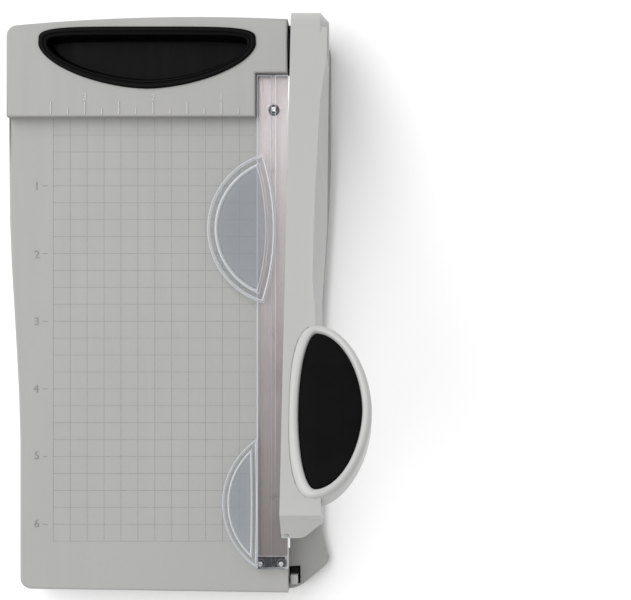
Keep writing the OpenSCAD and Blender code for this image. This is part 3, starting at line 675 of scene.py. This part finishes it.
def d_outline(half, side_a, side_b, power_a, power_b):
    """(along, out) points round a D: side_a on one side of its long line, side_b on the other."""
    points = []
    for i in range(2 * RING_STEPS):
        turn = math.pi * i / RING_STEPS
        share = math.cos(turn)
        first = i <= RING_STEPS
        out = side_a * bulge(share, power_a) if first else -side_b * bulge(share, power_b)
        points.append((half * share, out))
    return points


def tray_ring(bm, inset, z):
    """The tray's outline, moved inwards by inset."""
    outline = d_outline(tray_half - inset, TRAY_UP - inset, tray_down - inset, FAR_POWER, NEAR_POWER)
    return ring(bm, [(tray_mid.x + a, tray_mid.y + b, z) for a, b in outline])


LIP_Z = TRAY_HIGH.z
TRAY_FLOOR = TRAY_LOW.z + 1.6 * MM
WALL_STEPS = 6
WALL_IN = 3.75
CORNER_R = 1.3
# Insets of the rings, in millimetres, and their heights
lip_profile = [(1.95, TRAY_LOW.z + 0.4 * MM), (1.95, HEAD_Z - 0.2 * MM), (0.05, HEAD_Z),
               (0.0, HEAD_Z + 0.3 * MM), (0.12, LIP_Z - 0.3 * MM), (0.4, LIP_Z - 0.08 * MM),
               (0.8, LIP_Z), (1.5, LIP_Z - 0.03 * MM), (1.72, LIP_Z - 0.12 * MM),
               (1.85, LIP_Z - 0.42 * MM), (2.1, LIP_Z - 0.45 * MM), (2.25, LIP_Z - 0.2 * MM),
               (2.5, LIP_Z - 0.08 * MM), (2.95, LIP_Z - 0.1 * MM), (3.3, LIP_Z - 0.45 * MM),
               (3.55, LIP_Z - 1.4 * MM)]
for i in range(WALL_STEPS + 1):
    a = math.pi / 2 * i / WALL_STEPS
    inset = WALL_IN + CORNER_R * (1 - math.cos(a))
    lip_profile.append((inset, TRAY_FLOOR + CORNER_R * MM * (1 - math.sin(a))))
bm = bmesh.new()
skin(bm, [tray_ring(bm, inset * MM, z) for inset, z in lip_profile])
add_piece("palm_tray_bowl", bm, "root", "tray_black", [TRAY_BLACK], ["palm_tray"], smooth=SOFT_DEG)

# %% [markdown]
# ## Guard strip
#
# A long clear strip holds the paper down beside the cut. It is cut from the CAD copy with a
# plane, so it keeps the groove with its round end. Its long edges are rounded, and all faces
# that aren't flat get the brighter finish, a painted highlight.

# %% Guard strip
STRIP_W = 11.8 * MM
STRIP_X = GUARD_HIGH.x - STRIP_W
STRIP_GAP = 0.01 * MM
LONG_EDGE = 1.5 * MM

bm = node_bmesh("paper_guard")
cut_off(bm, STRIP_X + STRIP_GAP, -1)
bmesh.ops.recalc_face_normals(bm, faces=bm.faces)
long_edges = corners(bm, lambda middle, edge: edge.calc_length() > LONG_EDGE)
soften(bm, long_edges, 0.3 * MM, 3, clamp=False)
bm.normal_update()
# Faces that aren't flat take the second finish, a painted highlight.
for face in bm.faces:
    face.material_index = 1 if abs(face.normal.z) < 0.97 else 0
add_piece("guard_strip", bm, "guard", "guard_clear", GUARD, ["paper_guard"])

# %% [markdown]
# ## Finger pads
#
# Two finger pads stand out from the strip. Each is the lens between two circles: a strongly
# curved outer side and a shallow inner one. Its rings make an outer lip, a valley, a second
# rib and an etched floor.

# %% Finger pads
PAD_R = 29 * MM
LENS_STEPS = 36
GUARD_TOP = GUARD_HIGH.z
GUARD_FLOOR = GUARD_LOW.z


def lens_outline(outer, inner, inset):
    """Points round the lens of two circles, each (centre x, radius), moved inwards by inset."""
    (x1, r1), (x2, r2) = (outer[0], outer[1] - inset), (inner[0], inner[1] - inset)
    apart = x1 - x2
    corner = (apart ** 2 + r2 ** 2 - r1 ** 2) / (2 * apart)
    half = math.sqrt(r2 ** 2 - corner ** 2)
    start = math.atan2(half, corner - apart)
    points = []
    for i in range(LENS_STEPS):
        a = start + (2 * math.pi - 2 * start) * i / LENS_STEPS
        points.append((x1 + r1 * math.cos(a), r1 * math.sin(a)))
    end = math.atan2(half, corner)
    for i in range(LENS_STEPS // 2):
        a = -end + 2 * end * i / (LENS_STEPS // 2)
        points.append((x2 + r2 * math.cos(a), r2 * math.sin(a)))
    return points


def light_up(bm):
    """Gives sloping faces the bright edge finish, a painted highlight, and a broad upper face the
    etched one.
    """
    bm.normal_update()
    for face in bm.faces:
        if len(face.verts) > 30 and face.normal.z > 0.9:
            face.material_index = 2
        elif abs(face.normal.z) < 0.95:
            face.material_index = 1


# Insets and depths below the top, in millimetres, of the rings that make a pad's rim
PAD_RIM = [(0.0, 0.3), (0.12, 0.1), (0.35, 0.0), (0.6, 0.05), (0.85, 0.25), (1.1, 0.6),
           (2.7, 0.65), (3.0, 0.35), (3.3, 0.2), (3.6, 0.35), (3.9, 0.85), (4.25, 0.9)]


def finger_pad(name, y, out, past, inner_bulge, rim):
    """A pad that stands out from the strip, with its tips past the strip's edge."""
    outer = (STRIP_X - out + PAD_R, PAD_R)
    chord = math.sqrt(PAD_R ** 2 - (PAD_R - out - past) ** 2)
    inner_r = (chord ** 2 + inner_bulge ** 2) / (2 * inner_bulge)
    inner = (STRIP_X + past + inner_bulge - inner_r, inner_r)
    bm = bmesh.new()

    def pad_ring(inset, z):
        return ring(bm, [(px, y + py, z) for px, py in lens_outline(outer, inner, inset * MM)])

    rings = [pad_ring(0.25, GUARD_FLOOR), pad_ring(0.0, GUARD_FLOOR + 0.25 * MM)]
    rings += [pad_ring(inset * rim, GUARD_TOP - depth * MM) for inset, depth in PAD_RIM]
    skin(bm, rings)
    light_up(bm)
    cut_off(bm, STRIP_X, 1)
    add_piece(name, bm, "guard", "guard_clear", GUARD, smooth=SOFT_DEG, weighted=False)
    return outer, inner


FAR_PAD_Y = 27.65 * MM
NEAR_PAD_Y = -74.95 * MM
far_outer, far_inner = finger_pad("far_finger_pad", FAR_PAD_Y, out=18.5 * MM, past=2.6 * MM,
                                  inner_bulge=4.5 * MM, rim=1.0)
finger_pad("near_finger_pad", NEAR_PAD_Y, out=12.9 * MM, past=0.0, inner_bulge=0.4 * MM, rim=0.7)

# %% [markdown]
# ## Far pad's bridge
#
# The far pad is a whole lens, and its inner side lies on top of the strip. That part is a low
# crescent: two ribs round a piece of the etched floor. It is made from the same outline, and
# the plane now keeps the other half.

# %% Far pad's bridge
bm = bmesh.new()
# Insets and heights above the strip, in millimetres
bridge_profile = [(0.0, -0.02), (0.0, 0.35), (0.25, 0.45), (0.6, 0.43), (0.85, 0.3), (1.1, 0.14),
                  (2.7, 0.12), (3.0, 0.25), (3.3, 0.32), (3.6, 0.25), (3.9, 0.1), (4.25, 0.08)]
bridge_rings = []
for inset, height in bridge_profile:
    outline = lens_outline(far_outer, far_inner, inset * MM)
    z = GUARD_TOP + height * MM
    bridge_rings.append(ring(bm, [(px, FAR_PAD_Y + py, z) for px, py in outline]))
skin(bm, bridge_rings)
light_up(bm)
cut_off(bm, STRIP_X, -1)
add_piece("pad_bridge", bm, "guard", "guard_clear", GUARD, smooth=SOFT_DEG, weighted=False)

# %% [markdown]
# ## Arm
#
# The arm is a long tapering bar: flat inside, where the blade is bolted, and sloping outside.
# Its CAD copy is turned level about the bolt first, because there its long edges can be found
# by their height, and then turned back. Long edges get a radius of about a millimetre, as a
# hand slides over them. The nose's rim gets less, and its lower right corner twice as much.

# %% Arm
hinge = next(j for j in frame["joints"] if j["name"] == "arm_hinge")
RAISED = -math.radians(hinge["range_deg"][0])
PIVOT = Vector(hinge["pos_m"])
TO_REST = Matrix.Translation(PIVOT) @ Matrix.Rotation(-RAISED, 4, "X")
TO_LEVEL = TO_REST.inverted()
print(f"the arm stands {math.degrees(RAISED):.0f} degrees above the deck")


def level_bmesh(node):
    """A CAD piece of the arm, merged and turned level, with the bolt's line at the origin."""
    bm = node_bmesh(node)
    bmesh.ops.transform(bm, matrix=TO_LEVEL, verts=bm.verts)
    return bm


def add_arm_piece(name, bm, *rest, **settings):
    """Turns the level mesh back to its rest angle and makes it a piece on the arm."""
    bmesh.ops.transform(bm, matrix=TO_REST, verts=bm.verts)
    add_piece(name, bm, "arm", *rest, **settings)


bm = level_bmesh("arm_shell")
HUB_Y = -20 * MM
ARM_TOP = max(v.co.z for v in bm.verts if v.co.y < HUB_Y)
ARM_UNDER = min(v.co.z for v in bm.verts if v.co.y < HUB_Y)
NOSE_Y = min(v.co.y for v in bm.verts)
ARM_IN = min(v.co.x for v in bm.verts)
GRIP_END_Y = NOSE_Y + 69 * MM
OUTER_X = ARM_IN + 5 * MM
OUTER_LOW = -2.5 * MM
OUTER_HIGH = 8 * MM
KEEL_Y = NOSE_Y + 8 * MM
KEEL_X = 5 * MM
NOSE_EDGE = 3 * MM
RUN_EDGE = 1.2 * MM


def runs_along(edge):
    """True for an edge that runs along the arm."""
    return abs((edge.verts[0].co - edge.verts[1].co).normalized().y) > 0.9


def long_corner(middle, edge):
    """Edges that run along the arm, on top past the grip and on its outer side."""
    top = middle.z > ARM_TOP - 0.1 * MM and middle.y > GRIP_END_Y
    outer = middle.x > OUTER_X and OUTER_LOW < middle.z < OUTER_HIGH and middle.y < HUB_Y
    return runs_along(edge) and (top or outer)


def keel(middle, edge):
    """The nose's lower right corner."""
    at_nose = middle.y < KEEL_Y and middle.x > KEEL_X and middle.z < ARM_UNDER + FLUSH
    return at_nose and runs_along(edge)


def nose_rim(middle, edge):
    """The longer edges of the arm's end face."""
    return middle.y < NOSE_Y + FLUSH and edge.calc_length() > NOSE_EDGE


soften(bm, corners(bm, keel), 2.2 * MM, 6, clamp=False)
long_edges = [e for e in corners(bm, long_corner, turn=12) if e.calc_length() > RUN_EDGE]
soften(bm, long_edges, 1.1 * MM, 4)
soften(bm, corners(bm, nose_rim), 0.6 * MM, 3)
add_arm_piece("arm_body", bm, "arm_grey", [ARM_GREY], ["arm_shell"])

# %% [markdown]
# ## D-shaped grip
#
# A pale D ring sits on the arm's end and holds a black rubber insert. The ring's outline is the
# same kind of D as the tray, with its long line along the arm. Its section is a rounded rim:
# up the outside, over a soft crown, and down to the insert's seat.

# %% Grip ring
bm = level_bmesh("grip_frame")
GRIP_LOW = min(v.co.z for v in bm.verts)
GRIP_HIGH = max(v.co.z for v in bm.verts)
grip_far = max(v.co.y for v in bm.verts)
grip_near = min(v.co.y for v in bm.verts)
grip_low_x = min(v.co.x for v in bm.verts)
grip_high_x = max(v.co.x for v in bm.verts)
bm.free()
GRIP_LEFT = 9 * MM
grip_x = grip_low_x + GRIP_LEFT
GRIP_RIGHT = grip_high_x - grip_x
grip_half = (grip_far - grip_near) / 2
grip_y = (grip_far + grip_near) / 2


RIGHT_POWER = 1.85
LEFT_OUTER = 2.8
LEFT_INNER = 2.0


def grip_ring(bm, inset, z, left_power, scale=1.0):
    """The grip's outline, moved inwards and then scaled about its long line's middle."""
    outline = d_outline(grip_half - inset, GRIP_RIGHT - inset, GRIP_LEFT - inset,
                        RIGHT_POWER, left_power)
    return ring(bm, [(grip_x + out * scale, grip_y + along * scale, z) for along, out in outline])


RIM_W = 3.2
CROWN_W = 1.7
CROWN_H = 2.2 * MM
CROWN_STEPS = 8
PAD_SEAT = GRIP_HIGH - 4.5 * MM
# Insets of the rings, in millimetres, their heights, and the power of their left side
rim_profile = [(0.35, GRIP_LOW, LEFT_OUTER), (0.0, GRIP_LOW + 0.5 * MM, LEFT_OUTER),
               (0.0, GRIP_HIGH - CROWN_H, LEFT_OUTER)]
for i in range(1, CROWN_STEPS + 1):
    a = math.pi / 2 * i / CROWN_STEPS
    height = GRIP_HIGH - CROWN_H * (1 - math.sin(a))
    rim_profile.append((CROWN_W * (1 - math.cos(a)), height, LEFT_OUTER - 0.8 * i / CROWN_STEPS))
rim_profile += [(2.3, GRIP_HIGH - 0.08 * MM, LEFT_INNER), (2.75, GRIP_HIGH - 0.35 * MM, LEFT_INNER),
                (3.05, GRIP_HIGH - 0.9 * MM, LEFT_INNER), (RIM_W, GRIP_HIGH - 1.6 * MM, LEFT_INNER),
                (RIM_W, PAD_SEAT, LEFT_INNER)]
bm = bmesh.new()
skin(bm, [grip_ring(bm, inset * MM, z, power) for inset, z, power in rim_profile])
add_arm_piece("grip_ring", bm, "grip_grey", [GRIP_GREY], ["grip_frame"], smooth=SOFT_DEG)

# %% [markdown]
# ## Rubber insert
#
# The insert fills the ring with a narrow joint round it, rolls over at its edge and swells a
# little in the middle, as a pressed rubber part does. The swelling is a dome: each inner ring is
# a smaller copy of the outline, and rises by the square of its distance from the edge.

# %% Rubber insert
INSERT_IN = RIM_W * MM + 0.06 * MM
INSERT_EDGE = GRIP_HIGH - 1.5 * MM
ROLL = 0.6 * MM
ROLL_STEPS = 4
DOME = 0.9 * MM
DOME_SCALES = (0.93, 0.85, 0.74, 0.6, 0.44, 0.26, 0.1)
bm = bmesh.new()
insert_rings = [grip_ring(bm, INSERT_IN, PAD_SEAT + 0.05 * MM, LEFT_INNER),
                grip_ring(bm, INSERT_IN, INSERT_EDGE, LEFT_INNER)]
for i in range(1, ROLL_STEPS + 1):
    a = math.pi / 2 * i / ROLL_STEPS
    inset = INSERT_IN + ROLL * (1 - math.cos(a))
    insert_rings.append(grip_ring(bm, inset, INSERT_EDGE + ROLL * math.sin(a), LEFT_INNER))
for scale in DOME_SCALES:
    height = INSERT_EDGE + ROLL + DOME * (1 - scale ** 2)
    insert_rings.append(grip_ring(bm, INSERT_IN + ROLL, height, LEFT_INNER, scale))
skin(bm, insert_rings)
add_arm_piece("grip_insert", bm, "pad_black", [PAD_BLACK], ["grip_pad"], smooth=60, weighted=False)

# %% [markdown]
# ## Small mouldings, pads and plates
#
# What is left of the visible solids has the right shape already and only wants broken edges.
# One loop copies each CAD node, rounds every corner by a width that suits its size,
# and lets the copy stand for the node. The steel bed and the blade get the smallest
# radius, because they are cutting edges.

# %% Small pieces with broken edges
# Piece, node, body, slot, finish, and the width of its rounded edges in millimetres
softened = [
    ("bed_strip", "bed_plate", "root", "bed_steel", BED_STEEL, 0.12),
    ("guide_block", "guard_block", "root", "tray_black", BLOCK_BLACK, 0.25),
    ("hub_washer", "pivot_washer", "root", "tray_black", BLOCK_BLACK, 0.3),
    ("latch_window", "latch_bezel", "root", "tray_black", BLOCK_BLACK, 0.2),
    ("latch_slider", "latch_tab", "latch", "latch_light", LATCH_LIGHT, 0.3),
    ("bumper", "arm_bumper", "root", "rubber_black", RUBBER_BLACK, 0.7),
    ("feet", "rubber_feet", "root", "rubber_black", RUBBER_BLACK, 0.3),
    ("under_plate", "bottom_plate", "root", "plate_dark", PLATE_DARK, 0.3),
    ("arm_under_strip", "arm_undercover", "arm", "arm_grey", ARM_GREY, 0.2),
    ("hub_cap", "pivot_cap", "arm", "arm_grey", ARM_GREY, 0.5),
    ("blade", "moving_blade", "arm", "blade_steel", BLADE_STEEL, 0.04),
    ("bracket", "hinge_bracket", "root", "bracket_steel", BRACKET_STEEL, 0.3),
]
for name, node, body, slot, finish, width in softened:
    bm = node_bmesh(node)
    soften(bm, corners(bm), width * MM, 2)
    add_piece(name, bm, body, slot, [finish], [node])

# %% [markdown]
# ## Shear edge
#
# The bed's right edge is ground where the blade slides down it. Its glint is a painted highlight:
# a narrow near-white strip along the bed, which stops a little before the near end.

# %% Shear edge
EDGE_LEFT = CUT_X - 0.75 * MM
EDGE_RIGHT = CUT_X - 0.03 * MM
EDGE_NEAR = BED_LOW.y + 3 * MM
EDGE_FAR = BED_HIGH.y - 0.2 * MM
EDGE_Z = DECK_Z - 0.1 * MM
EDGE_H = 0.14 * MM
# The strip's near-white steel is a painted highlight along the edge.
bm = bmesh.new()
bar(bm, EDGE_LEFT, EDGE_RIGHT, EDGE_NEAR, EDGE_FAR, EDGE_Z, EDGE_H, 0.03 * MM)
add_piece("shear_edge_glint", bm, "root", "bed_steel", [EDGE_GLINT_STEEL])

# %% [markdown]
# ## Springs under the guard
#
# Three small coil springs hold the guard up. They flatten as the guard is pressed down.

# %% Springs under the guard
springs = add_piece("springs", node_bmesh("guard_springs"), "root", "spring_steel", [SPRING_STEEL],
                    ["guard_springs"], weighted=False)
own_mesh(springs)

# %% [markdown]
# ## Screws, bolt and spring washer
#
# The fasteners stay as the CAD model has them: cross recesses, hexagons and a bronze bush are
# true shapes there. They only take a finish.

# %% Finishes for the fasteners
kept = {
    "base_screws": SCREW_STEEL, "bed_screws": BED_STEEL, "bracket_screws": SCREW_STEEL,
    "arm_screws": SCREW_STEEL, "blade_screws": SCREW_STEEL, "grip_screws": SCREW_STEEL,
    "pivot_bolt": SCREW_STEEL, "pivot_nut": SCREW_STEEL, "guard_pins": SCREW_STEEL,
    "spring_washer": SPRING_STEEL, "pivot_bush": BUSH_BRONZE,
}
for node, finish in kept.items():
    for slot in frame["nodes"][node].material_slots:
        slot.material = finish
print(f"{len(kept)} CAD nodes kept")

# %% [markdown]
# ## Last update
#
# The view layer is brought up to date once more. The visual model has to stay inside the
# CAD model's box.

# %% Last update
bpy.context.view_layer.update()
